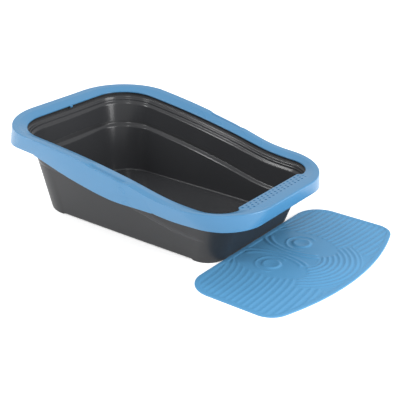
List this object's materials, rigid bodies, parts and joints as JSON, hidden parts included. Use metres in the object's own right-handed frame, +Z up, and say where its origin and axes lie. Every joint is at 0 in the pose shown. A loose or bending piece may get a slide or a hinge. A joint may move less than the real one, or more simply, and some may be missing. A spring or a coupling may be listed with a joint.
{
  "type": "open cat litter tray",
  "caption": "Open cat litter tray with a low entry end, a rim frame that fits over its edge and a loose relief mat that catches litter in front of it.",
  "frame": {"origin": "middle of the whole set's footprint, on the floor", "axes": "+Z up; +Y towards the high back of the tray, so the low entry end and the mat face -Y; +X to the right when looking along +Y"},
  "size_m": [0.441, 0.761, 0.1905],
  "materials": {
    "tray_plastic": "satin moulded plastic, glossier inside",
    "rim_plastic": "satin moulded plastic",
    "mat_plastic": "satin moulded plastic with ridges"
  },
  "bodies": {
    "tray": {"tray": "tray_plastic"},
    "rim_frame": {"rim_frame": "rim_plastic"},
    "mat": {"mat": "mat_plastic"}
  },
  "joints": [
    {"name": "rim_lift", "type": "slide", "parent": "tray", "child": "rim_frame", "axis": [0, 0, 1], "range_m": [0, 0.12]},
    {"name": "mat_slide", "type": "slide", "parent": "tray", "child": "mat", "axis": [0, -1, 0], "range_m": [0, 0.15]}
  ]
}
